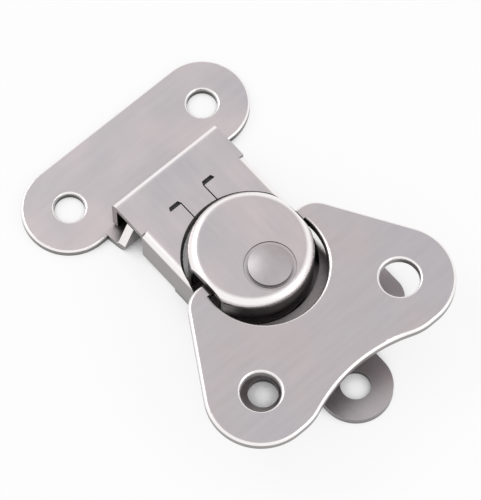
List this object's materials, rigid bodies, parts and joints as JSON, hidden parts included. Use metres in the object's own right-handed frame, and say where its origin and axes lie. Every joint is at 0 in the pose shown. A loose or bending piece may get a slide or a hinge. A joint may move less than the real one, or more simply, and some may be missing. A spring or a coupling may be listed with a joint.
{
  "type": "butterfly case latch",
  "caption": "Surface-mounted butterfly latch for a case: a finger wing turns an eccentric cam that draws a hooked link and its keeper towards the base plate.",
  "frame": {"origin": "on the mounting plane, midway between the two screw holes in the base plate's ears", "axes": "+X from the keeper to the rear tab along the draw direction, +Y across the latch, +Z out of the case wall"},
  "size_m": [0.0676, 0.0472, 0.0145],
  "materials": {
    "base_plate": "satin pressed stainless steel with rounded sheared edges",
    "link": "satin pressed stainless steel with rounded sheared edges",
    "keeper": "satin pressed stainless steel with rounded sheared edges",
    "wing": "satin pressed stainless steel with rounded sheared edges",
    "cam_cap": "satin pressed stainless steel with rounded sheared edges",
    "pivot_rivet": "satin pressed stainless steel with rounded sheared edges",
    "pivot_bush": "satin pressed stainless steel with rounded sheared edges"
  },
  "bodies": {
    "base": {"base_plate": "base_plate"},
    "rotor": {"wing": "wing", "cam_cap": "cam_cap", "pivot_rivet": "pivot_rivet", "pivot_bush": "pivot_bush"},
    "link_set": {"link": "link", "keeper": "keeper"}
  },
  "joints": [
    {"name": "wing_turn", "type": "hinge", "parent": "base", "child": "rotor", "pos_m": [-0.012, 0, 0], "axis": [0, 0, 1], "range_deg": [0, 180]},
    {"name": "link_draw", "type": "hinge", "parent": "rotor", "child": "link_set", "pos_m": [-0.0165, 0, 0], "axis": [0, 0, 1], "range_deg": [-180, 0]}
  ],
  "couplings": [
    {"joint": "link_draw", "follows": "wing_turn", "ratio": -1}
  ]
}
